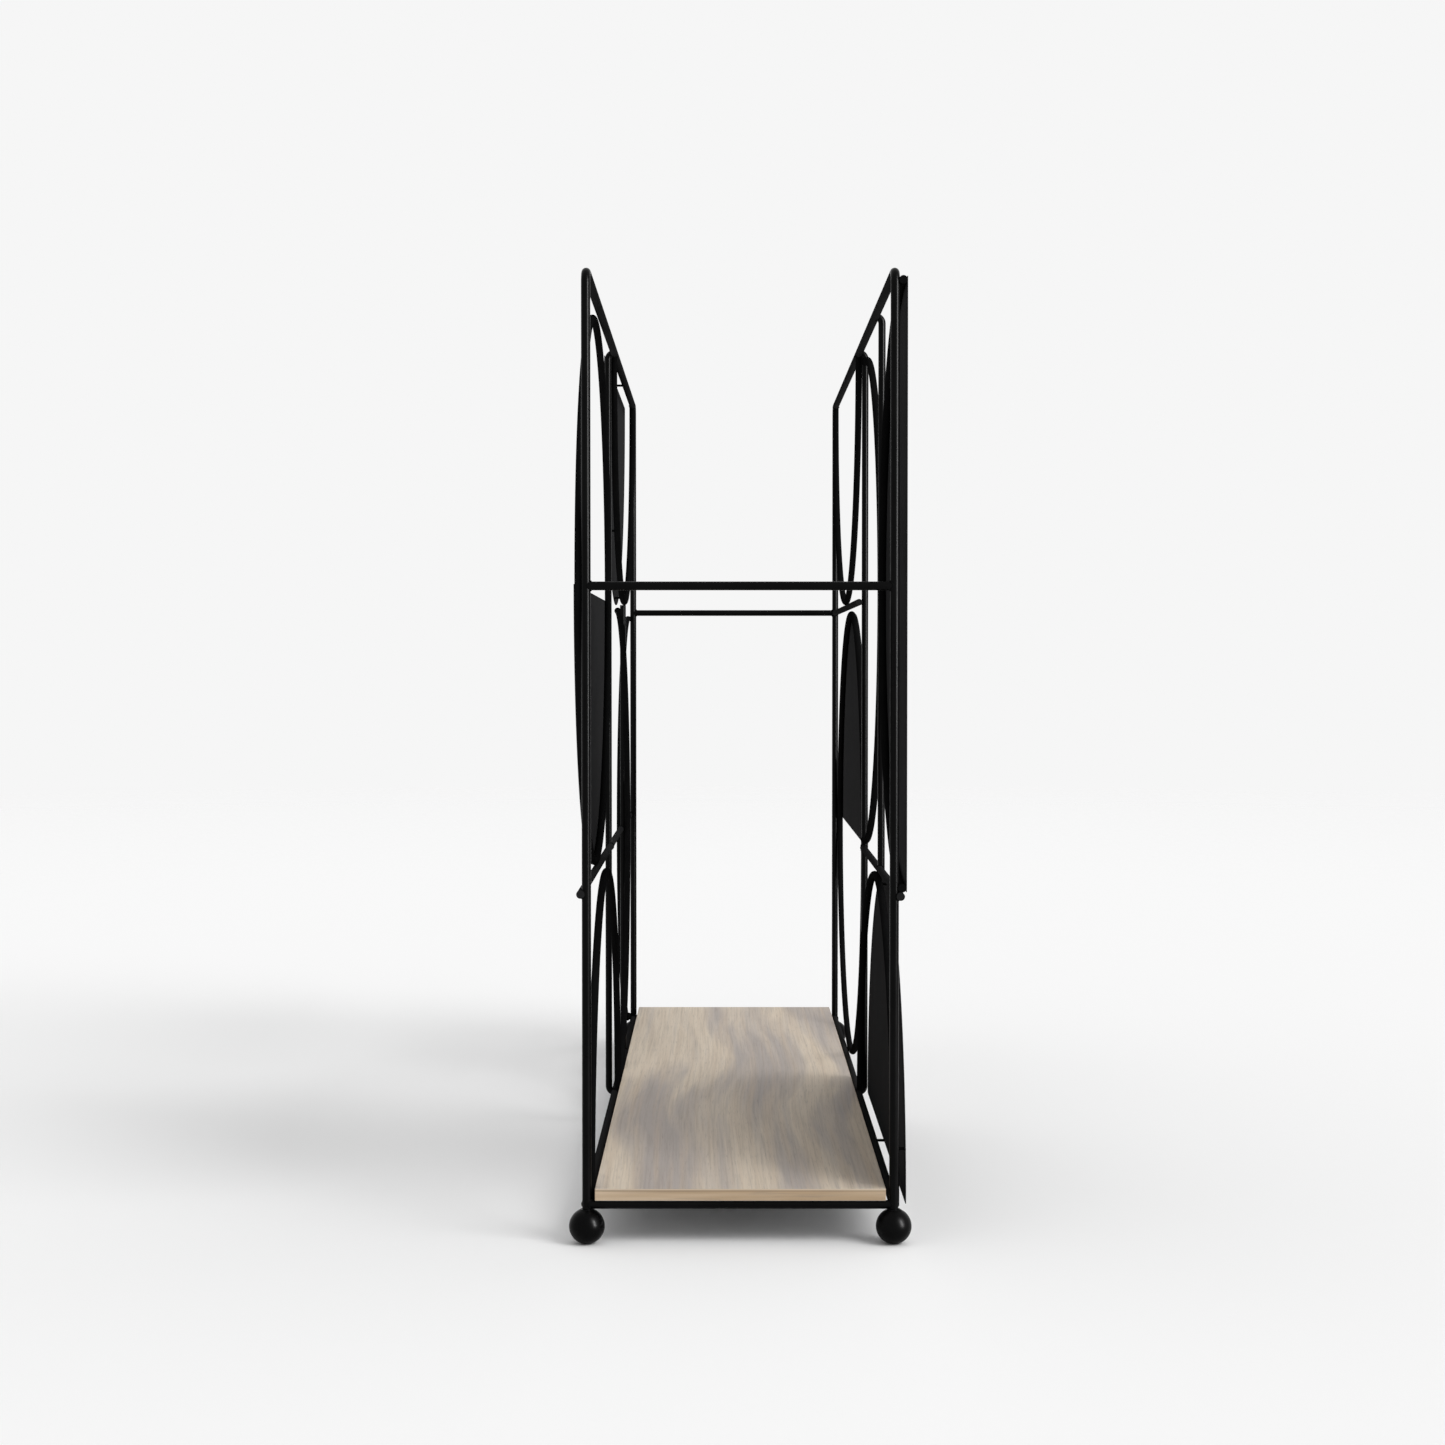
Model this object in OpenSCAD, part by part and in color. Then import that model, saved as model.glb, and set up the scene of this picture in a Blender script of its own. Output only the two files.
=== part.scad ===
// Firewood log rack: two wire side panels, four cross rails and a base board on ball feet.
// The origin is on the floor under the middle. X is the width, Y the length, Z is up.

/* [Rack] */
// Length between the near and far post axes
rack_l = 1200; // [1000:10:1500]
// Width between the left and right post axes
rack_w = 298; // [240:2:420]
// Height from the bottom rail axis to the top rail axis
rack_h = 903; // [890:1:940]
// Pitch of the panel grid: the cells are squares of this half width
cell = 300; // [280:5:300]
// Height of the bottom rail axis over the floor
foot_h = 38; // [34:1:60]

/* [Rods] */
// Diameter of the posts and of the side rails
frame_d = 9; // [8.5:0.5:12]
// Diameter of the cross rails
cross_d = 8.5; // [7:0.5:9]
// Diameter of the bars, uprights and rings of the panels
bar_d = 8; // [6:0.5:8.5]
// Bend radius of the top corners, on the rod axis
corner_r = 12; // [10:1:30]
// Shortest straight leg of a hanging arch under the top rail's axis
hang_leg = 7; // [6:0.5:20]
// Depth to which the outer wires are set into the frame rods at their welds
weld_set = 1; // [0:0.1:1.5]
// Length by which a bar runs past the rod that it crosses
end_over = 6; // [5:0.5:12]

/* [Layers] */
// Outward offset of the right lower bar from the post plane
right_bar_x = 6; // [5:0.1:7]
// Outward offset of the left lower bar from the post plane
left_bar_x = 5.6; // [4.6:0.1:7]
// Outward offset of the left lower upright
left_upright_x = 2.5; // [1.5:0.1:4]
// Outward offset of the right standing arch
right_arch_x = 2; // [0:0.1:2.5]
// Outward offset of the left hanging arch
left_arch_x = 0.8; // [0:0.1:2]
// Inward offset of the left half ring and the left standing arch
inner_x = 3.6; // [3:0.1:4]
// Height of the left lower bar over the grid line of the lower cells
left_bar_rise = 2; // [0:0.5:4]
// Distance by which a wire's end stops short of the axis of the wire that it meets
ring_end_back = 1; // [0.5:0.1:2]
// Gap that the right near ring leaves under the top rail
ring_top_gap = 5; // [0:0.5:8]

/* [Plates] */
// Thickness of the half-disc plates
plate_t = 0.8; // [0.6:0.1:1.5]
// Distance by which the plates of the full rings reach past the wire's axis
plate_lap = 0.5; // [0.5:0.5:4]
// Height of the left arch plate's straight edge over the spring line of its arch
plate_rise = 4; // [2:0.5:8]
// Diameter of the studs between the arches and their plates
stud_d = 3; // [2:0.5:3.5]

/* [Board and feet] */
// Thickness of the base board
board_t = 12; // [9:1:20]
// Side gap between the board and the nearest wire
board_gap = 0.3; // [0.2:0.1:3]
// Diameter of the ball feet
ball_d = 34.8; // [30:0.2:44]
// Radius of the hollow curve between foot and post
neck_r = 6; // [4:0.5:7]
// Height of the flat ground on the underside of a ball foot
foot_flat = 0.4; // [0.2:0.1:1]

/* [Hidden] */

$fn = 48;
ring_fn = 120;
steel = [0.11, 0.11, 0.115];
dark_steel = [0.09, 0.09, 0.095];
oak = [0.72, 0.66, 0.58];

right = 1;
left = -1;
frame_r = frame_d / 2;
bar_r = bar_d / 2;
// Grid lines of a panel: near post, middle upright, far post, and the levels above the rail
mid_y = 2 * cell;
level_1 = cell;
level_2 = 2 * cell;
left_level = level_1 + left_bar_rise;
// The outer wires lie on the frame rods, sunk in by the weld
outer_x = frame_r + bar_r - weld_set;
// The plates lie flat on the outer wires
plate_in = outer_x + bar_r;
plate_out = plate_in + plate_t;
stud_r = stud_d / 2;

// Distance across the panel at which two round wires touch when their layers differ by dx
function touch(r1, r2, dx) = sqrt(max(0, pow(r1 + r2, 2) - dx * dx));
outer_on_frame = touch(frame_r, bar_r, outer_x);

// Right near ring: it touches the right upper upright and rests on the right lower bar
right_near_ring_z0 = level_1 + touch(bar_r, bar_r, outer_x - right_bar_x);
near_ring_r = (rack_h - ring_top_gap - outer_on_frame - right_near_ring_z0) / 2;
right_near_ring_y = cell - bar_d - near_ring_r;
right_near_ring_z = right_near_ring_z0 + near_ring_r;
// Right half ring: from the middle upright to the far side of the upper upright
half_ring_y = mid_y - ring_end_back;
half_ring_r = min(half_ring_y - cell - bar_d, near_ring_r);
// Full rings: between the middle upright and the post
right_full_ring_y0 = mid_y + bar_d;
right_full_ring_r = (rack_l - outer_on_frame - right_full_ring_y0) / 2;
right_full_ring_y = right_full_ring_y0 + right_full_ring_r;
right_full_ring_z = outer_on_frame + right_full_ring_r;
left_full_ring_r = (mid_y - bar_d - outer_on_frame) / 2;
left_full_ring_y = outer_on_frame + left_full_ring_r;
left_full_ring_z = left_level + touch(bar_r, bar_r, outer_x - left_bar_x) + left_full_ring_r;
// Standing arches: their feet come down on the bottom rail beside the near post
arch_r = cell - bar_d;
right_arch_y = touch(frame_r, bar_r, right_arch_x) + arch_r;
right_arch_z = level_1 - touch(bar_r, bar_r, right_bar_x - right_arch_x) - arch_r;
left_arch_y = frame_r + bar_r + arch_r;
left_arch_z = frame_r;
// Hanging arches: beside the middle upright and over the upper grid line, as wide as the bay's
// length to the far corner bend and its height under the top rail allow
hang_y0 = mid_y + bar_d;
hang_z0 = level_2 + bar_d;
hang_r = min((rack_l - corner_r - bar_r - hang_y0) / 2, rack_h - hang_leg - hang_z0);
hang_y = hang_y0 + hang_r;
hang_z = hang_z0 + hang_r;
// Left far ring and left half ring touch the left lower upright from its two sides
left_upright_y = rack_l - cell;
left_upright_top = hang_z - hang_r - bar_r;
left_far_ring_r = cell - touch(bar_r, bar_r, outer_x - left_upright_x);
left_far_ring_z = outer_on_frame + left_far_ring_r;
left_half_ring_r = half_ring_r;
left_half_ring_y = left_upright_y - touch(bar_r, bar_r, left_upright_x + inner_x)
    - left_half_ring_r;
left_half_ring_z = touch(frame_r, bar_r, inner_x) + left_half_ring_r;
// Plates of the arches: from their straight edge to the outer edge of the arch wire
right_arch_plate_r = right_arch_z + arch_r + bar_r;
left_arch_plate_r = plate_rise + hang_r + bar_r;
// Plate of the left full ring: its straight edge is level with the lower bar's next grid line
left_ring_plate_r = left_full_ring_r + plate_lap;
left_ring_plate_z = level_2 + left_bar_rise;
// Studs on the near half of an arch
arch_stud_angles = [100, 135, 170];
// Board and feet
board_w = rack_w - 2 * (inner_x + bar_r + board_gap);
ball_r = ball_d / 2;

// Places a panel: X outwards from the post plane, Y from the near post, Z from the bottom rail
module panel(side) {
    translate([side * rack_w / 2, -rack_l / 2, foot_h])
        mirror([side < 0 ? 1 : 0, 0, 0])
            children();
}

module rod_x(d, x0, x1, y, z) {
    translate([x0, y, z]) rotate([0, 90, 0]) cylinder(d = d, h = x1 - x0);
}

module rod_y(d, x, y0, y1, z) {
    translate([x, y0, z]) rotate([-90, 0, 0]) cylinder(d = d, h = y1 - y0);
}

module rod_z(d, x, y, z0, z1) {
    translate([x, y, z0]) cylinder(d = d, h = z1 - z0);
}

// Arc of wire in the panel plane, from angle a0 over a span; angles run from +Y towards +Z
module arc(d, r, x, y, z, a0, span) {
    translate([x, y, z])
        rotate([90, 0, 90])
            rotate([0, 0, a0])
                rotate_extrude(angle = span, $fn = ring_fn)
                    translate([r, 0]) circle(d = d, $fn = $fn);
}

// Post of a panel; toward is 1 where its corner bends to +Y and -1 where it bends to -Y
module post(y, toward) {
    rod_z(frame_d, 0, y, -frame_r, rack_h - corner_r);
    arc(frame_d, corner_r, 0, y + toward * corner_r, rack_h - corner_r, toward > 0 ? 90 : 0, 90);
}

module top_rod() {
    rod_y(frame_d, 0, corner_r, rack_l - corner_r, rack_h);
}

module bottom_rod() {
    rod_y(frame_d, 0, 0, rack_l, 0);
}

module post_rods() {
    for (y = [0, rack_l]) rod_z(frame_d, 0, y, -frame_r, rack_h - corner_r);
}

// Upright from the level z0, with its top end turned inward to the top rail
module upright(y, z0) {
    rod_z(bar_d, outer_x, y, z0, rack_h - outer_x);
    turned_end(y, rack_h - outer_x, 1);
}

// Quarter bend from the outer layer to the post plane; up is 1 at the top end, -1 at the foot
module turned_end(y, z, up) {
    translate([0, y, z])
        mirror([0, 0, up < 0 ? 1 : 0])
            rotate([90, 0, 0])
                rotate_extrude(angle = 90, $fn = ring_fn)
                    translate([outer_x, 0]) circle(d = bar_d, $fn = $fn);
}

module middle_upright() {
    upright(mid_y, outer_x);
    turned_end(mid_y, outer_x, -1);
}

module half_space(y0, y1, z0, z1) {
    translate([-frame_d, y0, z0]) cube([plate_out + 2 * frame_d, y1 - y0, z1 - z0]);
}

// Full disc in the layer of the plates
module disc(r, y, z) {
    translate([plate_in, y, z]) rotate([0, 90, 0]) cylinder(r = r, h = plate_t, $fn = ring_fn);
}

// Right panel, wires
module right_lower_bar_rod() {
    rod_y(bar_d, right_bar_x, -end_over, mid_y, level_1);
}

module right_upper_bar_rod() {
    rod_y(bar_d, 0, mid_y - end_over, rack_l, level_2);
}

module standing_arch_wire(x, y, z, r) {
    arc(bar_d, r, x, y, z, 0, 180);
    for (s = [-1, 1]) rod_z(bar_d, x, y + s * r, 0, z);
}

module hanging_arch_wire(x) {
    arc(bar_d, hang_r, x, hang_y, hang_z, 180, 180);
    for (s = [-1, 1]) rod_z(bar_d, x, hang_y + s * hang_r, hang_z, rack_h);
}

// Stud from the layer x out to the plates
module stud(x, y, z) {
    rod_x(stud_d, x, plate_in, y, z);
}

// Studs on a circle of radius r in the layer x, at the given angles
module studs(x, r, y, z, angles) {
    for (a = angles) stud(x, y + r * cos(a), z + r * sin(a));
}

module right_near_post() { color(steel) panel(right) post(0, 1); }
module right_far_post() { color(steel) panel(right) post(rack_l, -1); }
module left_near_post() { color(steel) panel(left) post(0, 1); }
module left_far_post() { color(steel) panel(left) post(rack_l, -1); }

module right_top_rail() { color(steel) panel(right) top_rod(); }
module left_top_rail() { color(steel) panel(left) top_rod(); }

module side_bottom_rail(side) {
    panel(side) difference() {
        bottom_rod();
        post_rods();
    }
}
module right_bottom_rail() { color(steel) side_bottom_rail(right); }
module left_bottom_rail() { color(steel) side_bottom_rail(left); }

module side_middle_upright(side) {
    panel(side) difference() {
        middle_upright();
        top_rod();
        bottom_rod();
    }
}
module right_middle_upright() { color(steel) side_middle_upright(right); }
module left_middle_upright() { color(steel) side_middle_upright(left); }

module right_upper_upright() {
    color(steel) panel(right) difference() {
        upright(cell, level_1);
        top_rod();
        right_lower_bar_rod();
    }
}

module right_lower_bar() {
    color(steel) panel(right) difference() {
        right_lower_bar_rod();
        post_rods();
        middle_upright();
    }
}

module right_upper_bar() {
    color(steel) panel(right) difference() {
        right_upper_bar_rod();
        post_rods();
        middle_upright();
    }
}

// The near ring's two ends run straight on to the near side of the post
module right_near_ring() {
    color(steel) panel(right) difference() {
        union() {
            arc(bar_d, near_ring_r, outer_x, right_near_ring_y, right_near_ring_z, -90, 180);
            for (s = [-1, 1])
                rod_y(bar_d, outer_x, -frame_r, right_near_ring_y,
                    right_near_ring_z + s * near_ring_r);
        }
        post_rods();
    }
}

module right_half_ring() {
    color(steel) panel(right) difference() {
        arc(bar_d, half_ring_r, outer_x, half_ring_y, right_near_ring_z, 90, 180);
        middle_upright();
    }
}

module right_full_ring() {
    color(steel) panel(right)
        arc(bar_d, right_full_ring_r, outer_x, right_full_ring_y, right_full_ring_z, 0, 360);
}

module right_standing_arch() {
    color(steel) panel(right) difference() {
        standing_arch_wire(right_arch_x, right_arch_y, right_arch_z, arch_r);
        bottom_rod();
    }
}

module right_hanging_arch() {
    color(steel) panel(right) difference() {
        hanging_arch_wire(0);
        top_rod();
    }
}

module right_near_plate() {
    color(dark_steel) panel(right) intersection() {
        disc(near_ring_r + bar_r, right_near_ring_y, right_near_ring_z);
        half_space(0, mid_y, 0, rack_h);
    }
}

module right_ring_plate() {
    color(dark_steel) panel(right) intersection() {
        disc(right_full_ring_r + plate_lap, right_full_ring_y, right_full_ring_z);
        half_space(0, rack_l, right_full_ring_z, rack_h);
    }
}

module right_arch_plate() {
    color(dark_steel) panel(right) intersection() {
        disc(right_arch_plate_r, right_arch_y, 0);
        half_space(0, rack_l, 0, rack_h);
    }
}

// One stud stands on the bottom rail and the others on the near half of the arch
module right_arch_studs() {
    color(steel) panel(right) difference() {
        union() {
            stud(0, right_arch_y, stud_r);
            studs(right_arch_x, arch_r, right_arch_y, right_arch_z, arch_stud_angles);
        }
        bottom_rod();
        standing_arch_wire(right_arch_x, right_arch_y, right_arch_z, arch_r);
    }
}

// Left panel, wires
module left_lower_upright_rod() {
    rod_z(bar_d, left_upright_x, left_upright_y, 0, left_upright_top);
}

module left_lower_upright() {
    color(steel) panel(left) difference() {
        left_lower_upright_rod();
        bottom_rod();
    }
}

module left_lower_bar_near() {
    color(steel) panel(left) difference() {
        rod_y(bar_d, left_bar_x, -end_over, mid_y, left_level);
        post_rods();
        middle_upright();
    }
}

module left_lower_bar_far() {
    color(steel) panel(left) difference() {
        rod_y(bar_d, left_bar_x, mid_y, left_upright_y, left_level);
        middle_upright();
        left_lower_upright_rod();
    }
}

// Last length of the left lower bar, inside the far ring
module left_lower_bar_end() {
    color(steel) panel(left) difference() {
        rod_y(bar_d, left_bar_x, rack_l - left_far_ring_r + ring_end_back, rack_l, left_level);
        far_ring_wire();
        post_rods();
    }
}

module far_ring_wire() {
    arc(bar_d, left_far_ring_r, outer_x, rack_l, left_far_ring_z, 90, 180);
    for (s = [-1, 1])
        rod_y(bar_d, outer_x, rack_l, rack_l + frame_r, left_far_ring_z + s * left_far_ring_r);
}

module left_far_ring() {
    color(steel) panel(left) difference() {
        far_ring_wire();
        post_rods();
    }
}

module left_half_ring() {
    color(steel) panel(left)
        arc(bar_d, left_half_ring_r, -inner_x, left_half_ring_y, left_half_ring_z, -90, 180);
}

module left_full_ring() {
    color(steel) panel(left)
        arc(bar_d, left_full_ring_r, outer_x, left_full_ring_y, left_full_ring_z, 0, 360);
}

module left_standing_arch() {
    color(steel) panel(left) difference() {
        standing_arch_wire(-inner_x, left_arch_y, left_arch_z, arch_r);
        bottom_rod();
    }
}

module left_hanging_arch() {
    color(steel) panel(left) difference() {
        hanging_arch_wire(left_arch_x);
        top_rod();
    }
}

module left_ring_plate() {
    color(dark_steel) panel(left) intersection() {
        disc(left_ring_plate_r, left_full_ring_y, left_ring_plate_z);
        half_space(0, mid_y, 0, left_ring_plate_z);
    }
}

module left_arch_plate() {
    color(dark_steel) panel(left) intersection() {
        disc(left_arch_plate_r, hang_y, hang_z + plate_rise);
        half_space(0, rack_l, 0, hang_z + plate_rise);
    }
}

// One stud stands on the top rail and the others on the near half of the arch
module left_arch_studs() {
    color(steel) panel(left) difference() {
        union() {
            stud(0, hang_y, hang_z + plate_rise - stud_r);
            studs(left_arch_x, hang_r, hang_y, hang_z, [for (a = arch_stud_angles) 360 - a]);
        }
        top_rod();
        hanging_arch_wire(left_arch_x);
    }
}

// Cross rails, board and feet
module cross_rod(y, z) {
    translate([0, -rack_l / 2, foot_h]) rod_x(cross_d, -rack_w / 2, rack_w / 2, y, z);
}

module bottom_cross_rail(y) {
    difference() {
        cross_rod(y, 0);
        for (side = [left, right]) panel(side) {
            post_rods();
            bottom_rod();
        }
    }
}
module near_bottom_cross_rail() { color(steel) bottom_cross_rail(0); }
module far_bottom_cross_rail() { color(steel) bottom_cross_rail(rack_l); }

module near_middle_cross_rail() {
    color(steel) difference() {
        cross_rod(0, level_2);
        for (side = [left, right]) panel(side) post_rods();
    }
}

module far_middle_cross_rail() {
    color(steel) difference() {
        cross_rod(rack_l, level_2);
        for (side = [left, right]) panel(side) post_rods();
        panel(right) right_upper_bar_rod();
    }
}

module base_board() {
    color(oak)
        translate([-board_w / 2, -(rack_l + cross_d) / 2, foot_h + cross_d / 2])
            cube([board_w, rack_l + cross_d, board_t]);
}

// Ball foot with a hollow neck that meets the post under the rails
module foot(side, y) {
    ball_z = ball_r - foot_flat;
    neck_x = frame_r + neck_r;
    neck_z = ball_z + sqrt(pow(ball_r + neck_r, 2) - neck_x * neck_x);
    tangent_x = neck_x * ball_r / (ball_r + neck_r);
    tangent_z = ball_z + (neck_z - ball_z) * ball_r / (ball_r + neck_r);
    top_z = foot_h - frame_r;
    translate([side * rack_w / 2, y, 0])
        rotate_extrude($fn = ring_fn)
            intersection() {
                union() {
                    translate([0, ball_z]) circle(r = ball_r, $fn = ring_fn);
                    difference() {
                        translate([0, ball_z]) square([tangent_x, top_z - ball_z]);
                        translate([neck_x, neck_z]) circle(r = neck_r, $fn = ring_fn);
                        translate([tangent_x, tangent_z]) square(neck_r);
                    }
                }
                square([ball_r, top_z]);
            }
}
module near_left_foot() { color(steel) foot(left, -rack_l / 2); }
module near_right_foot() { color(steel) foot(right, -rack_l / 2); }
module far_left_foot() { color(steel) foot(left, rack_l / 2); }
module far_right_foot() { color(steel) foot(right, rack_l / 2); }

right_near_post();
right_far_post();
right_top_rail();
right_bottom_rail();
right_middle_upright();
right_upper_upright();
right_lower_bar();
right_upper_bar();
right_near_ring();
right_half_ring();
right_full_ring();
right_standing_arch();
right_hanging_arch();
right_near_plate();
right_ring_plate();
right_arch_plate();
right_arch_studs();
left_near_post();
left_far_post();
left_top_rail();
left_bottom_rail();
left_middle_upright();
left_lower_upright();
left_lower_bar_near();
left_lower_bar_far();
left_lower_bar_end();
left_far_ring();
left_half_ring();
left_full_ring();
left_standing_arch();
left_hanging_arch();
left_ring_plate();
left_arch_plate();
left_arch_studs();
near_bottom_cross_rail();
far_bottom_cross_rail();
near_middle_cross_rail();
far_middle_cross_rail();
base_board();
near_left_foot();
near_right_foot();
far_left_foot();
far_right_foot();
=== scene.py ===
import math

import bpy
import bmesh
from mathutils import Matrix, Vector
from mathutils.bvhtree import BVHTree


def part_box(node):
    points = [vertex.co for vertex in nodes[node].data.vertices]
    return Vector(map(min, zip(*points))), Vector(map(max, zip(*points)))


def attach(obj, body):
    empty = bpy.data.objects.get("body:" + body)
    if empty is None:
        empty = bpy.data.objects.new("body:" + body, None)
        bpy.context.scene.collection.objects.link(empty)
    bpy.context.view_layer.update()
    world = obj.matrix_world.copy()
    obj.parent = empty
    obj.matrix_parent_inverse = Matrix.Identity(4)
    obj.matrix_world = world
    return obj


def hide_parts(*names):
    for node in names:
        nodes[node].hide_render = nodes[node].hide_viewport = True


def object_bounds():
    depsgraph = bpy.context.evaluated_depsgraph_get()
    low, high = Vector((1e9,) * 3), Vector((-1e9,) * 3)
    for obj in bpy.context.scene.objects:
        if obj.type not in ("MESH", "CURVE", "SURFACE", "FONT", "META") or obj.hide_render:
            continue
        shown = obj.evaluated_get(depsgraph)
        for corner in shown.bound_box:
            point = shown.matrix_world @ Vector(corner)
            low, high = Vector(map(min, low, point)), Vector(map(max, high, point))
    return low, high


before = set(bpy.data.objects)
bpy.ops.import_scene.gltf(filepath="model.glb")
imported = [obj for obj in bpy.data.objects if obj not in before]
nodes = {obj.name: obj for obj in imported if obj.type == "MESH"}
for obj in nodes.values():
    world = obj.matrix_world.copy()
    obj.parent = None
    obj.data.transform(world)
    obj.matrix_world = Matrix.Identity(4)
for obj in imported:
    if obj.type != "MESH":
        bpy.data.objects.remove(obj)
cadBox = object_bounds()
print("frame loaded:", len(nodes), "nodes")


# Helpers for node trees. A value may be a number, a colour or the output of another node.

def newMaterial(name):
    mat = bpy.data.materials.new(name)
    mat.use_nodes = True
    tree = mat.node_tree
    tree.nodes.clear()
    shader = tree.nodes.new("ShaderNodeBsdfPrincipled")
    out = tree.nodes.new("ShaderNodeOutputMaterial")
    tree.links.new(shader.outputs["BSDF"], out.inputs["Surface"])
    return mat, tree, shader


def feed(tree, socket, value):
    if hasattr(value, "is_output"):
        tree.links.new(value, socket)
    else:
        socket.default_value = value


def objectPoint(tree, scale=(1, 1, 1)):
    coords = tree.nodes.new("ShaderNodeTexCoord")
    mapping = tree.nodes.new("ShaderNodeMapping")
    mapping.inputs["Scale"].default_value = scale
    tree.links.new(coords.outputs["Object"], mapping.inputs["Vector"])
    return mapping.outputs["Vector"]


def splitPoint(tree, point):
    parts = tree.nodes.new("ShaderNodeSeparateXYZ")
    tree.links.new(point, parts.inputs["Vector"])
    return parts.outputs


def joinPoint(tree, x, y, z):
    whole = tree.nodes.new("ShaderNodeCombineXYZ")
    for socket, value in zip(whole.inputs, (x, y, z)):
        feed(tree, socket, value)
    return whole.outputs["Vector"]


def noise(tree, point, scale, detail=3.0, roughness=0.5, distortion=0.0):
    node = tree.nodes.new("ShaderNodeTexNoise")
    node.inputs["Scale"].default_value = scale
    node.inputs["Detail"].default_value = detail
    node.inputs["Roughness"].default_value = roughness
    node.inputs["Distortion"].default_value = distortion
    tree.links.new(point, node.inputs["Vector"])
    return node.outputs["Fac"]


def spread(tree, value, fromLow, fromHigh, low=0.0, high=1.0):
    node = tree.nodes.new("ShaderNodeMapRange")
    for key, number in (("From Min", fromLow), ("From Max", fromHigh), ("To Min", low), ("To Max", high)):
        node.inputs[key].default_value = number
    tree.links.new(value, node.inputs["Value"])
    return node.outputs["Result"]


def mixShaders(tree, amount, first, second, out):
    mix = tree.nodes.new("ShaderNodeMixShader")
    for socket, value in zip(mix.inputs, (amount, first, second)):
        tree.links.new(value, socket)
    tree.links.new(mix.outputs["Shader"], out.inputs["Surface"])


def blendColours(tree, amount, first, second):
    node = tree.nodes.new("ShaderNodeMix")
    node.data_type = "RGBA"
    factor, a, b = node.inputs[0], node.inputs[6], node.inputs[7]  # the colour sockets of a Mix node
    feed(tree, factor, amount)
    feed(tree, a, first)
    feed(tree, b, second)
    return node.outputs[2]


def maths(tree, operation, a, b=0.0):
    node = tree.nodes.new("ShaderNodeMath")
    node.operation = operation
    feed(tree, node.inputs[0], a)
    feed(tree, node.inputs[1], b)
    return node.outputs[0]


def bumpFrom(tree, shader, height, strength, distance):
    bump = tree.nodes.new("ShaderNodeBump")
    bump.inputs["Strength"].default_value = strength
    bump.inputs["Distance"].default_value = distance
    tree.links.new(height, bump.inputs["Height"])
    tree.links.new(bump.outputs["Normal"], shader.inputs["Normal"])


def linked(name, data):
    piece = bpy.data.objects.new(name, data)
    bpy.context.scene.collection.objects.link(piece)
    return piece


def newObject(name, points, edges=(), faces=()):
    mesh = bpy.data.meshes.new(name)
    mesh.from_pydata(points, edges, faces)
    return linked(name, mesh)


# Black powder coat. Posts, uprights, cross rails and feet are satin; the rest is matt. It is one black paint,
# but each finish has its own colour level, set so that its kind of part renders as light or as dark as it
# looks under this light. The levels are the paint's own black plus painted light and shade.
coat = {
    "blueTint": 1.03,
    # scales are in cells per metre, here and on the board
    "mottle": {"scale": 16.0, "detail": 5.0, "roughness": 0.62},
    "orangePeel": {"scale": 170.0, "detail": 2.0, "roughness": 0.5},
    "powderGrain": {"scale": 1500.0, "detail": 1.0},
    "grainShare": 0.08,
    "peelDepth": 0.00007,
    "peelStrength": 0.5,
    # a range takes its first two numbers to its last two; a short one goes to 0 and 1,
    # and this roughRange goes to the finish's own "rough"
    "dustRange": (0.44, 0.72, 0.0, 0.55),
    "roughRange": (0.3, 0.7),
    # colour and dust levels hold painted shade and painted light for each kind of part: darkest on the satin
    # posts and the wires, lighter on the rails, lightest on the plates
    "satin": {"colour": 0.0014, "dust": 0.0040, "specular": 0.050, "rough": (0.25, 0.33)},
    "wire": {"colour": 0.0054, "dust": 0.0094, "specular": 0.0, "rough": (0.45, 0.55)},
    "matt": {"colour": 0.0175, "dust": 0.0240, "specular": 0.0, "rough": (0.55, 0.65)},
    "plate": {"colour": 0.0285, "dust": 0.0345, "specular": 0.0, "rough": (0.60, 0.70)},
}


def grey(level):
    return (level, level, level * coat["blueTint"], 1.0)


def makeCoat(name, finish):
    mat, tree, shader = newMaterial(name)
    point = objectPoint(tree)
    mottle = noise(tree, point, **coat["mottle"])
    peel = noise(tree, point, **coat["orangePeel"])
    grain = noise(tree, point, **coat["powderGrain"])
    dusty = spread(tree, mottle, *coat["dustRange"])
    tone = blendColours(tree, dusty, grey(finish["colour"]), grey(finish["dust"]))
    tree.links.new(tone, shader.inputs["Base Color"])
    rough = spread(tree, mottle, *coat["roughRange"], *finish["rough"])
    tree.links.new(rough, shader.inputs["Roughness"])
    shader.inputs["Specular IOR Level"].default_value = finish["specular"]
    height = maths(tree, "ADD", peel, maths(tree, "MULTIPLY", grain, coat["grainShare"]))
    bumpFrom(tree, shader, height, coat["peelStrength"], coat["peelDepth"])
    return mat


satinCoat, wireCoat, mattCoat, plateCoat = (
    makeCoat(finish + "Coat", coat[finish]) for finish in ("satin", "wire", "matt", "plate"))


def finishOf(name):
    if name.endswith("_plate"):
        return plateCoat
    if name.endswith(("_post", "_upright", "_cross_rail", "_foot")):
        return satinCoat
    if name.endswith(("_ring", "_arch", "_studs")):
        return wireCoat
    return mattCoat  # rails and bars that run along the length


steelNames = [name for name in nodes if name != "base_board"]
for name in steelNames:
    nodes[name].data.materials.clear()
    nodes[name].data.materials.append(finishOf(name))
print("powder coat on", len(steelNames), "steel nodes")


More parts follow.
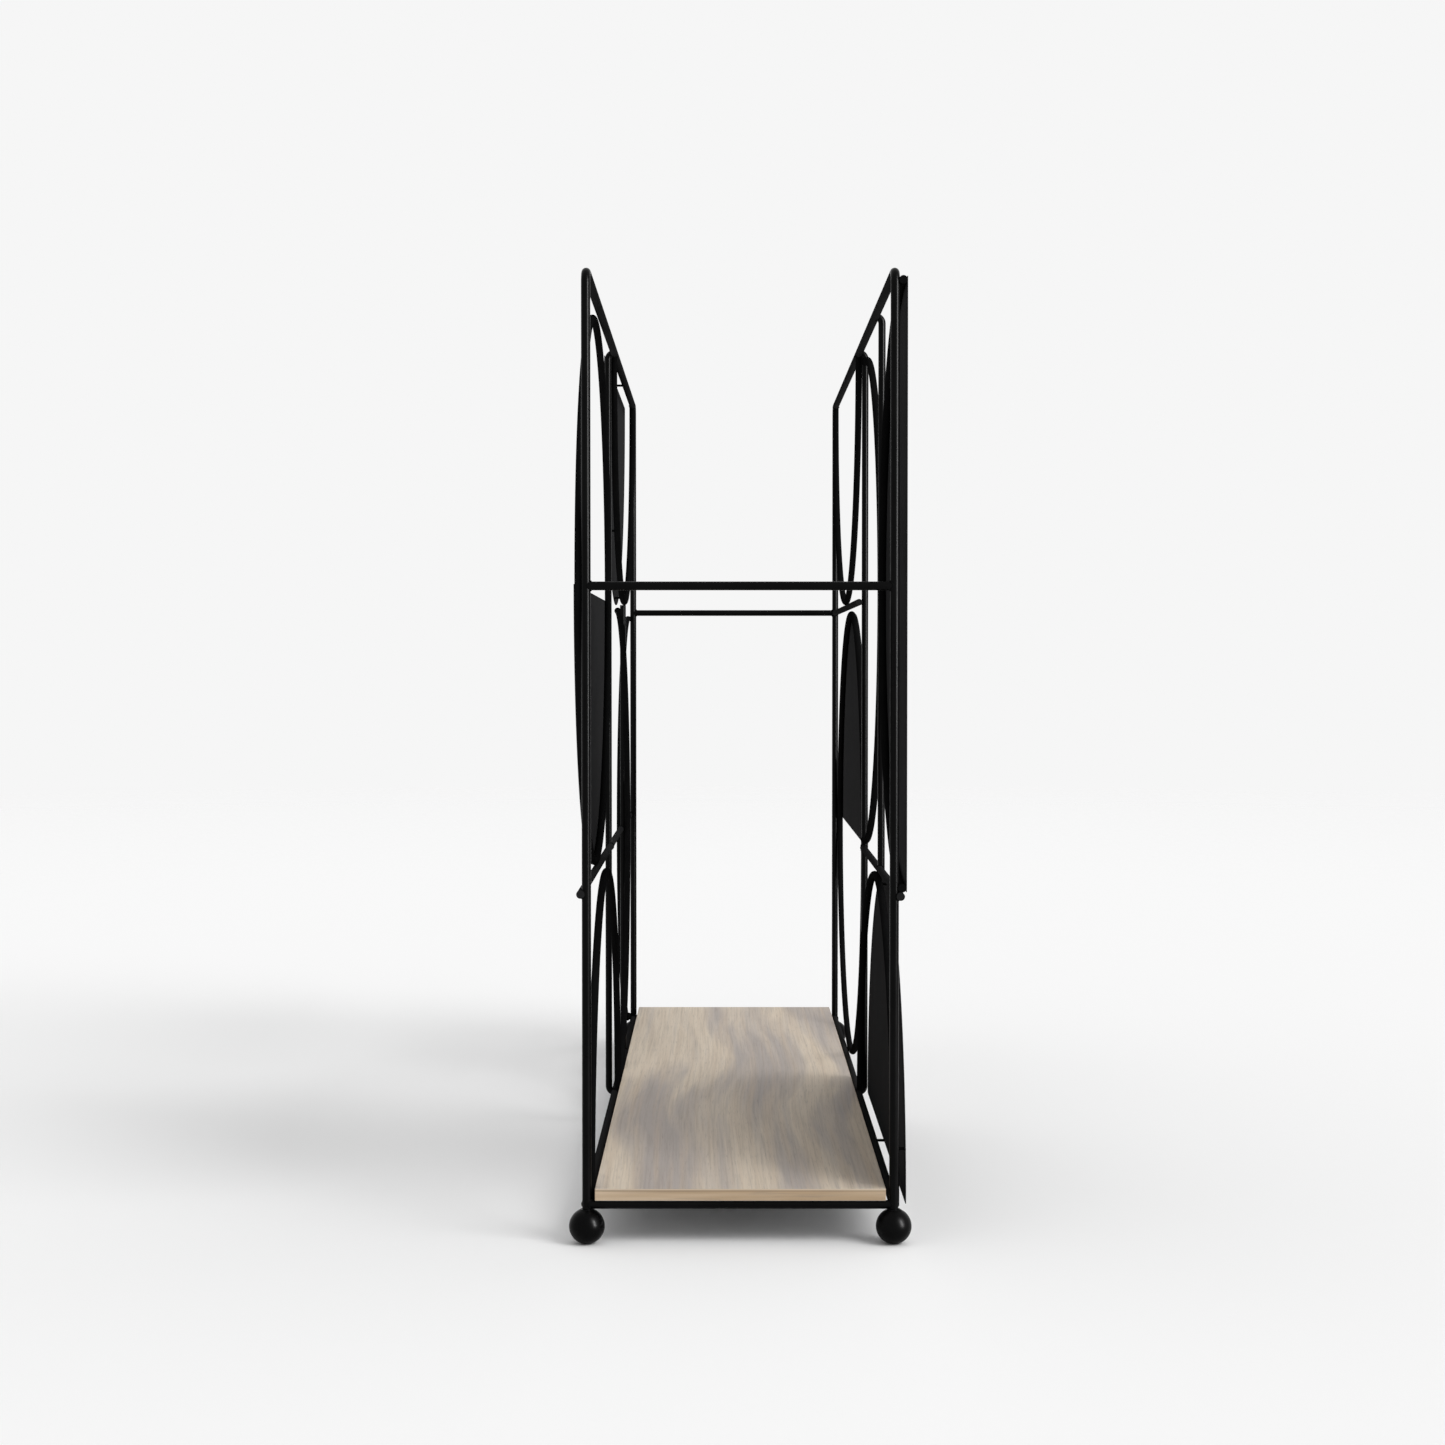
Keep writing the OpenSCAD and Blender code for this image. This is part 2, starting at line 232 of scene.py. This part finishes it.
# Welds: a rippled bead along each seam where a rod is coped to another, and a tack where wires only touch.
weld = {
    "beadRadius": 0.0010,
    "beadStep": 0.0006,
    "ripplePitch": 0.0022,
    "rippleDepth": 0.17,
    "sameSpot": 1e-5,            # corners of a rod's mesh closer than this are one
    "sameEnd": 2e-5,             # and so are the ends of seam edges
    "crease": math.radians(24),  # an edge sharper than this, lying on another rod, belongs to a seam
    "reach": 0.00030,            # how close to the other rod counts as lying on it
    "profileSides": 8,
    "tackRadius": 0.0018,
    "tackSmallest": (0.8, 0.85, 1.0),
    "tackLargest": (1.0, 1.1, 1.45),
    "tackDivisions": 3,
    "tackGap": 0.00060,          # wires closer than this get a tack
    "tackApart": 0.090,
    "searchRoom": 0.002,
    "seed": 11,
}


def weldedRods():
    rods = {}
    for name in steelNames:
        if name.endswith(("_plate", "_foot", "_studs")):
            continue
        mesh = bmesh.new()
        mesh.from_mesh(nodes[name].data)
        bmesh.ops.remove_doubles(mesh, verts=mesh.verts, dist=weld["sameSpot"])
        mesh.normal_update()
        low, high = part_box(name)
        rods[name] = {"mesh": mesh, "tree": BVHTree.FromBMesh(mesh), "low": low, "high": high}
    return rods


def mayTouch(a, b):
    room = weld["searchRoom"]
    return all(a["low"][i] - room < b["high"][i] and b["low"][i] - room < a["high"][i] for i in range(3))


def bentFromOneRod(nameA, nameB):
    # a post bends round into its top rail, so there is no seam between them
    kinds = {nameA.split("_")[-1], nameB.split("_")[-1]}
    return kinds == {"post", "rail"} and ("top_rail" in nameA or "top_rail" in nameB)


def seamEdges(rod, other):
    def lies(vert):
        return other["tree"].find_nearest(vert.co, weld["reach"])[0] is not None

    sharp = [e for e in rod["mesh"].edges
             if len(e.link_faces) == 2 and e.calc_face_angle(0.0) > weld["crease"]]
    return [[v.co.copy() for v in e.verts] for e in sharp if all(lies(v) for v in e.verts)]


def closestPoints(rod, other):
    found = []
    for vert in rod["mesh"].verts:
        place, _, _, gap = other["tree"].find_nearest(vert.co, weld["tackGap"])
        if place is not None:
            found.append((gap, (vert.co + place) / 2))
    return found


def findJoints():
    rods = weldedRods()
    names = sorted(rods)
    seams, tacks = [], []
    for i, first in enumerate(names):
        for second in names[i + 1:]:
            a, b = rods[first], rods[second]
            if bentFromOneRod(first, second) or not mayTouch(a, b):
                continue
            edges = seamEdges(a, b) + seamEdges(b, a)
            seams += edges
            if edges:
                continue
            kept = []
            near = sorted(closestPoints(a, b) + closestPoints(b, a), key=lambda found: found[0])
            for _, place in near:
                if all((place - other).length > weld["tackApart"] for other in kept):
                    kept.append(place)
            tacks += kept
    for rod in rods.values():
        rod["mesh"].free()
    return seams, tacks


def insideRack(point, room):
    # holds a bead's centre far enough in that the bead stays inside the rack's own box
    low, high = cadBox
    return [min(max(point[i], low[i] + room), high[i] - room) for i in range(3)]


def joinedSeams(seams):
    # edges that share an end are welded into whole runs
    mesh = bmesh.new()
    for ends in seams:
        mesh.edges.new([mesh.verts.new(end) for end in ends])
    bmesh.ops.remove_doubles(mesh, verts=mesh.verts, dist=weld["sameEnd"])
    mesh.verts.index_update()
    room = weld["beadRadius"] * (1 + weld["rippleDepth"])
    points = [insideRack(v.co, room) for v in mesh.verts]
    edges = [[v.index for v in e.verts] for e in mesh.edges]
    mesh.free()
    return points, edges


def startTree(name, inputs):
    tree = bpy.data.node_groups.new(name, "GeometryNodeTree")
    tree.interface.new_socket("Geometry", in_out="INPUT", socket_type="NodeSocketGeometry")
    for label, kind in inputs:
        tree.interface.new_socket(label, in_out="INPUT", socket_type=kind)
    tree.interface.new_socket("Geometry", in_out="OUTPUT", socket_type="NodeSocketGeometry")
    return tree, tree.nodes.new("NodeGroupInput").outputs


def endTree(tree, geometry, material):
    smooth = tree.nodes.new("GeometryNodeSetShadeSmooth")
    real = tree.nodes.new("GeometryNodeRealizeInstances")
    dress = tree.nodes.new("GeometryNodeSetMaterial")
    out = tree.nodes.new("NodeGroupOutput")
    tree.links.new(geometry, real.inputs["Geometry"])
    tree.links.new(real.outputs["Geometry"], smooth.inputs["Geometry"])
    tree.links.new(smooth.outputs["Geometry"], dress.inputs["Geometry"])
    tree.links.new(material, dress.inputs["Material"])
    tree.links.new(dress.outputs["Geometry"], out.inputs["Geometry"])


def seamTree():
    tree, given = startTree("weldSeamTree", [
        ("Bead Radius", "NodeSocketFloat"), ("Bead Step", "NodeSocketFloat"),
        ("Ripple Pitch", "NodeSocketFloat"), ("Ripple Depth", "NodeSocketFloat"),
        ("Coat", "NodeSocketMaterial")])
    curve = tree.nodes.new("GeometryNodeMeshToCurve")
    resample = tree.nodes.new("GeometryNodeResampleCurve")
    resample.mode = "LENGTH"
    along = tree.nodes.new("GeometryNodeSplineParameter")
    turns = maths(tree, "DIVIDE", along.outputs["Length"], given["Ripple Pitch"])
    wave = maths(tree, "SINE", maths(tree, "MULTIPLY", turns, math.tau))
    swell = maths(tree, "ADD", maths(tree, "MULTIPLY", wave, given["Ripple Depth"]), 1.0)
    profile = tree.nodes.new("GeometryNodeCurvePrimitiveCircle")
    profile.inputs["Resolution"].default_value = weld["profileSides"]
    sweep = tree.nodes.new("GeometryNodeCurveToMesh")
    sweep.inputs["Fill Caps"].default_value = True
    tree.links.new(given["Geometry"], curve.inputs["Mesh"])
    tree.links.new(curve.outputs["Curve"], resample.inputs["Curve"])
    tree.links.new(given["Bead Step"], resample.inputs["Length"])
    tree.links.new(given["Bead Radius"], profile.inputs["Radius"])
    tree.links.new(resample.outputs["Curve"], sweep.inputs["Curve"])
    tree.links.new(profile.outputs["Curve"], sweep.inputs["Profile Curve"])
    tree.links.new(swell, sweep.inputs["Scale"])
    endTree(tree, sweep.outputs["Mesh"], given["Coat"])
    return tree


def tackTree():
    tree, given = startTree("weldTackTree", [
        ("Tack Radius", "NodeSocketFloat"), ("Smallest", "NodeSocketVector"), ("Largest", "NodeSocketVector"),
        ("Seed", "NodeSocketInt"), ("Coat", "NodeSocketMaterial")])
    ball = tree.nodes.new("GeometryNodeMeshIcoSphere")
    ball.inputs["Subdivisions"].default_value = weld["tackDivisions"]
    turn = tree.nodes.new("FunctionNodeRandomValue")
    turn.data_type = "FLOAT_VECTOR"
    turn.inputs["Max"].default_value = (math.tau, math.tau, math.tau)
    size = tree.nodes.new("FunctionNodeRandomValue")
    size.data_type = "FLOAT_VECTOR"
    place = tree.nodes.new("GeometryNodeInstanceOnPoints")
    tree.links.new(given["Tack Radius"], ball.inputs["Radius"])
    tree.links.new(given["Seed"], turn.inputs["Seed"])
    tree.links.new(given["Seed"], size.inputs["Seed"])
    tree.links.new(given["Smallest"], size.inputs["Min"])
    tree.links.new(given["Largest"], size.inputs["Max"])
    tree.links.new(given["Geometry"], place.inputs["Points"])
    tree.links.new(ball.outputs["Mesh"], place.inputs["Instance"])
    tree.links.new(turn.outputs["Value"], place.inputs["Rotation"])
    tree.links.new(size.outputs["Value"], place.inputs["Scale"])
    endTree(tree, place.outputs["Instances"], given["Coat"])
    return tree


def grow(source, tree, settings):
    # runs the tree on the source and keeps its result as a plain mesh that rides on the rack
    modifier = source.modifiers.new(tree.name, "NODES")
    modifier.node_group = tree
    for item in tree.interface.items_tree:
        if item.in_out == "INPUT" and item.name in settings:
            modifier[item.identifier] = settings[item.name]
    name = source.name
    source.name = name + "Source"
    evaluated = source.evaluated_get(bpy.context.evaluated_depsgraph_get())
    mesh = bpy.data.meshes.new_from_object(evaluated)
    source.modifiers.remove(modifier)
    bpy.data.objects.remove(source)
    mesh.name = name
    piece = linked(name, mesh)
    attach(piece, "root")
    return piece


seams, tacks = findJoints()
seamBeads = grow(newObject("weldSeams", *joinedSeams(seams)), seamTree(), {
    "Bead Radius": weld["beadRadius"], "Bead Step": weld["beadStep"], "Ripple Pitch": weld["ripplePitch"],
    "Ripple Depth": weld["rippleDepth"], "Coat": wireCoat})
tackPoints = [insideRack(place, weld["tackRadius"] * max(weld["tackLargest"])) for place in tacks]
tackBeads = grow(newObject("weldTacks", tackPoints), tackTree(), {
    "Tack Radius": weld["tackRadius"], "Smallest": weld["tackSmallest"], "Largest": weld["tackLargest"],
    "Seed": weld["seed"], "Coat": wireCoat})
print("welds:", len(seams), "seam edges,", len(tacks), "tacks,",
      len(seamBeads.data.polygons) + len(tackBeads.data.polygons), "faces")


# Base board: veneered panel with an edge band all round.
board = {
    "arris": 0.0007,            # softened edges
    "arrisSegments": 3,
    "veneerThickness": 0.0022,
    "cream": (0.665, 0.570, 0.455, 1.0),
    "warm": (0.545, 0.435, 0.325, 1.0),
    "mauve": (0.410, 0.362, 0.332, 1.0),
    "pore": (0.270, 0.225, 0.190, 1.0),
    "bandLight": (0.620, 0.485, 0.345, 1.0),
    "bandDark": (0.460, 0.335, 0.215, 1.0),
    "glueLine": (0.230, 0.160, 0.100, 1.0),
    "backing": (0.480, 0.480, 0.485, 1.0),
    # cells across and along the grain, and how far in metres the slow bend carries a layer aside
    "figure": {"across": 17.0, "along": 1.3, "wander": 0.085, "look": {"distortion": 0.5}},
    "streaks": {"across": 80.0, "along": 1.7, "wander": 0.022, "look": {"detail": 4.0, "roughness": 0.6}},
    "fibres": {"across": 380.0, "along": 6.0, "wander": 0.022, "look": {"detail": 4.0, "roughness": 0.65}},
    "flecks": {"across": 800.0, "along": 30.0, "wander": 0.022, "look": {"detail": 2.0}},
    "bendScale": (2.2, 1.9, 1.0),
    "bend": {"scale": 1.0, "detail": 1.0, "roughness": 0.3},
    "creamRange": (0.40, 0.59),
    "warmRange": (0.46, 0.66, 0.0, 0.55),
    "mauveRange": (0.46, 0.32, 0.0, 0.42),
    "fibreRange": (0.47, 0.72, 0.0, 0.38),
    "fleckRange": (0.58, 0.78, 0.0, 0.50),
    "roughRange": (0.3, 0.7, 0.46, 0.60),
    "veneerGloss": 0.12,
    "poreDepth": 0.00012,
    "poreStrength": 0.4,
    # the band's own grain is drawn out along the edge it covers
    "bandDraw": 0.05,
    "bandGrain": {"scale": 420.0, "detail": 3.0, "roughness": 0.6, "distortion": 0.4},
    "bandPatch": {"scale": 90.0, "detail": 2.0},
    "bandPatchRange": (0.30, 0.56),
    "bandGrainRange": (0.50, 0.80, 0.0, 0.5),
    "glueLineRange": (0.0002, 0.0006, 0.75, 0.0),
    "veneerEdgeShow": 0.6,
    "bandDepth": 0.0001,
    "bandStrength": 0.25,
    "bandRoughness": 0.52,
    "bandGloss": 0.2,
    "speckle": {"scale": 260.0, "detail": 4.0, "roughness": 0.6},
    "speckleRange": (0.40, 0.75, 0.0, 0.15),
    "backingRoughness": 0.7,
    "backingGloss": 0.1,
}


def grainNoise(tree, layer):
    # every layer runs along the length and bends with the same slow wander
    bend = noise(tree, objectPoint(tree, board["bendScale"]), **board["bend"])
    x, y, _ = splitPoint(tree, objectPoint(tree))
    aside = maths(tree, "MULTIPLY", maths(tree, "SUBTRACT", bend, 0.5), layer["wander"])
    across = maths(tree, "MULTIPLY", maths(tree, "ADD", x, aside), layer["across"])
    along = maths(tree, "MULTIPLY", y, layer["along"])
    return noise(tree, joinPoint(tree, across, along, 0.0), 1.0, **layer["look"])


def makeVeneer(name):
    mat, tree, shader = newMaterial(name)
    figure, streaks, fibres, flecks = (
        grainNoise(tree, board[layer]) for layer in ("figure", "streaks", "fibres", "flecks"))
    pores = spread(tree, flecks, *board["fleckRange"])
    tone = blendColours(tree, spread(tree, figure, *board["creamRange"]), board["mauve"], board["cream"])
    for amount, colour in (
            (spread(tree, streaks, *board["warmRange"]), "warm"),
            (spread(tree, streaks, *board["mauveRange"]), "mauve"),
            (spread(tree, fibres, *board["fibreRange"]), "pore"),
            (pores, "pore")):
        tone = blendColours(tree, amount, tone, board[colour])
    tree.links.new(tone, shader.inputs["Base Color"])
    tree.links.new(spread(tree, fibres, *board["roughRange"]), shader.inputs["Roughness"])
    shader.inputs["Specular IOR Level"].default_value = board["veneerGloss"]
    bumpFrom(tree, shader, maths(tree, "SUBTRACT", 1.0, pores), board["poreStrength"], board["poreDepth"])
    return mat


def makeBand(name, scale):
    mat, tree, shader = newMaterial(name)
    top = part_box("base_board")[1][2]
    glue = top - board["veneerThickness"]
    grain = noise(tree, objectPoint(tree, scale), **board["bandGrain"])
    patch = noise(tree, objectPoint(tree, scale), **board["bandPatch"])
    height = splitPoint(tree, objectPoint(tree))[2]
    fromGlue = maths(tree, "ABSOLUTE", maths(tree, "SUBTRACT", height, glue))
    light = spread(tree, patch, *board["bandPatchRange"])
    tone = blendColours(tree, light, board["bandDark"], board["bandLight"])
    for amount, colour in (
            (spread(tree, grain, *board["bandGrainRange"]), "pore"),
            (spread(tree, fromGlue, *board["glueLineRange"]), "glueLine"),
            (spread(tree, height, glue, top - board["arris"], 0.0, board["veneerEdgeShow"]), "cream")):
        tone = blendColours(tree, amount, tone, board[colour])
    tree.links.new(tone, shader.inputs["Base Color"])
    shader.inputs["Roughness"].default_value = board["bandRoughness"]
    shader.inputs["Specular IOR Level"].default_value = board["bandGloss"]
    bumpFrom(tree, shader, grain, board["bandStrength"], board["bandDepth"])
    return mat


def makeBacking(name):
    # a plain grey paper backs the underside
    mat, tree, shader = newMaterial(name)
    speckle = noise(tree, objectPoint(tree), **board["speckle"])
    tone = blendColours(tree, spread(tree, speckle, *board["speckleRange"]), board["backing"], board["pore"])
    tree.links.new(tone, shader.inputs["Base Color"])
    shader.inputs["Roughness"].default_value = board["backingRoughness"]
    shader.inputs["Specular IOR Level"].default_value = board["backingGloss"]
    return mat


def makeBoard():
    low, high = (Vector(corner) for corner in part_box("base_board"))
    mesh = bmesh.new()
    bmesh.ops.create_cube(mesh, size=1.0)
    for vert in mesh.verts:
        vert.co = [(low[i] + high[i]) / 2 + vert.co[i] * (high[i] - low[i]) for i in range(3)]
    bmesh.ops.bevel(mesh, geom=list(mesh.edges), offset=board["arris"], segments=board["arrisSegments"],
                    profile=0.5, affect="EDGES")
    mesh.normal_update()
    steep = math.cos(math.radians(45))
    # slots: 0 veneer on top, 1 bands at the ends, 2 bands along the sides, 3 backing below
    for face in mesh.faces:
        if abs(face.normal.y) > steep:
            face.material_index = 1
        elif abs(face.normal.x) > steep:
            face.material_index = 2
        else:
            face.material_index = 0 if face.normal.z > 0 else 3
    data = bpy.data.meshes.new("boardPanel")
    mesh.to_mesh(data)
    mesh.free()
    panel = linked("boardPanel", data)
    draw = board["bandDraw"]
    for mat in (makeVeneer("boardVeneer"), makeBand("boardEndBand", (draw, 1.0, 1.0)),
                makeBand("boardSideBand", (1.0, draw, 1.0)), makeBacking("boardBacking")):
        data.materials.append(mat)
    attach(panel, "root")
    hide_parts("base_board")


makeBoard()
print("board panel made")


# Studio: paper floor that fades into the background, a soft sky, a key light and a strip for the rods.
studio = {
    "paper": (0.9216, 0.9216, 0.9216, 1.0),
    "fadeRange": (3.5, 8.0),    # metres from the rack's middle over which the floor fades
    "floorHalf": 9.0,
    "ambient": 1.249,
    "leftShade": 0.62,          # how bright the left side is beside the right
    "wallLevel": 0.40,          # how bright the walls are beside the ceiling
    "frontShade": 0.75,         # how bright the camera's side is beside the far side
    # each shade changes over a range of the direction's own x, y or z
    "leftToRight": (-0.60, 0.80),
    "frontToBack": (-0.75, 0.35),
    "wallToCeiling": (0.10, 0.90),
    "keyDirection": (1.03, -0.66, 0.98),  # from the rack towards the light
    "keyStrength": 1.30,
    "keyAngle": math.radians(30),
    "edgePlace": (2.77, -2.44, 1.45),
    "edgeAim": (0.149, -0.60, 0.60),
    "edgeSize": (0.55, 2.4),
    "edgePower": 400.0,
}


def makeFloor():
    half = studio["floorHalf"]
    corners = [(-half, -half, 0), (half, -half, 0), (half, half, 0), (-half, half, 0)]
    floor = newObject("studioFloor", corners, faces=[(0, 1, 2, 3)])
    mat = bpy.data.materials.new("studioPaper")
    mat.use_nodes = True
    tree = mat.node_tree
    tree.nodes.clear()
    paper = tree.nodes.new("ShaderNodeBsdfDiffuse")
    paper.inputs["Color"].default_value = studio["paper"]
    clear = tree.nodes.new("ShaderNodeBsdfTransparent")
    far = tree.nodes.new("ShaderNodeVectorMath")
    far.operation = "LENGTH"
    tree.links.new(objectPoint(tree), far.inputs[0])
    fade = spread(tree, far.outputs["Value"], *studio["fadeRange"])
    out = tree.nodes.new("ShaderNodeOutputMaterial")
    mixShaders(tree, fade, paper.outputs["BSDF"], clear.outputs["BSDF"], out)
    floor.data.materials.append(mat)


def makeWorld():
    world = bpy.data.worlds.new("studioWorld")
    bpy.context.scene.world = world
    world.use_nodes = True
    tree = world.node_tree
    tree.nodes.clear()
    coords = tree.nodes.new("ShaderNodeTexCoord")
    side, depth, height = splitPoint(tree, coords.outputs["Generated"])
    wall, ambient = studio["wallLevel"], studio["ambient"]
    # brightest overhead and on the right, and a little dimmer on the camera's side
    around = spread(tree, depth, *studio["frontToBack"], studio["frontShade"] * wall, wall)
    overhead = spread(tree, height, *studio["wallToCeiling"], 0.0, 1.0 - wall)
    fromRight = spread(tree, side, *studio["leftToRight"], studio["leftShade"] * ambient, ambient)
    level = maths(tree, "MULTIPLY", maths(tree, "ADD", around, overhead), fromRight)
    light = tree.nodes.new("ShaderNodeBackground")
    light.inputs["Color"].default_value = (1.0, 1.0, 1.0, 1.0)
    tree.links.new(level, light.inputs["Strength"])
    paper = tree.nodes.new("ShaderNodeBackground")
    paper.inputs["Color"].default_value = studio["paper"]
    rays = tree.nodes.new("ShaderNodeLightPath")
    seen = maths(tree, "MAXIMUM", rays.outputs["Is Camera Ray"], rays.outputs["Is Transmission Ray"])
    seen = maths(tree, "MAXIMUM", seen, rays.outputs["Is Glossy Ray"])
    out = tree.nodes.new("ShaderNodeOutputWorld")
    mixShaders(tree, seen, light.outputs["Background"], paper.outputs["Background"], out)


def addLamp(name, kind):
    data = bpy.data.lights.new(name, kind)
    return linked(name, data), data


def makeLamps():
    key, data = addLamp("keyLight", "SUN")
    data.energy = studio["keyStrength"]
    data.angle = studio["keyAngle"]
    key.rotation_euler = Vector(studio["keyDirection"]).to_track_quat("Z", "Y").to_euler()
    edge, data = addLamp("edgeLight", "AREA")
    data.shape = "RECTANGLE"
    data.size, data.size_y = studio["edgeSize"]
    data.energy = studio["edgePower"]
    edge.location = studio["edgePlace"]
    away = Vector(studio["edgePlace"]) - Vector(studio["edgeAim"])
    away.z = 0  # the strip stands upright
    edge.rotation_euler = away.to_track_quat("Z", "Y").to_euler()
    edge.visible_camera = False
    edge.visible_diffuse = False  # the strip shows only in the gloss of the rods
    steel = bpy.data.collections.new("edgeLightSteel")  # keeps the strip's glare off the board
    for name in steelNames:
        steel.objects.link(nodes[name])
    edge.light_linking.receiver_collection = steel


shot = {
    "lens": 58.56,
    "sensorWidth": 36.0,
    "place": (-0.0173, -2.8706, 0.5623),
    "downTilt": 0.02473,
    "farEnd": 200.0,
}


def makeCamera():
    data = bpy.data.cameras.new("rackCamera")
    data.sensor_width = shot["sensorWidth"]
    data.lens = shot["lens"]
    data.clip_end = shot["farEnd"]
    camera = linked("rackCamera", data)
    camera.location = shot["place"]
    camera.rotation_euler = (math.pi / 2 - shot["downTilt"], 0, 0)
    bpy.context.scene.camera = camera


makeFloor()
makeWorld()
makeLamps()
makeCamera()
bpy.context.scene.view_settings.view_transform = "Standard"
print("studio set")
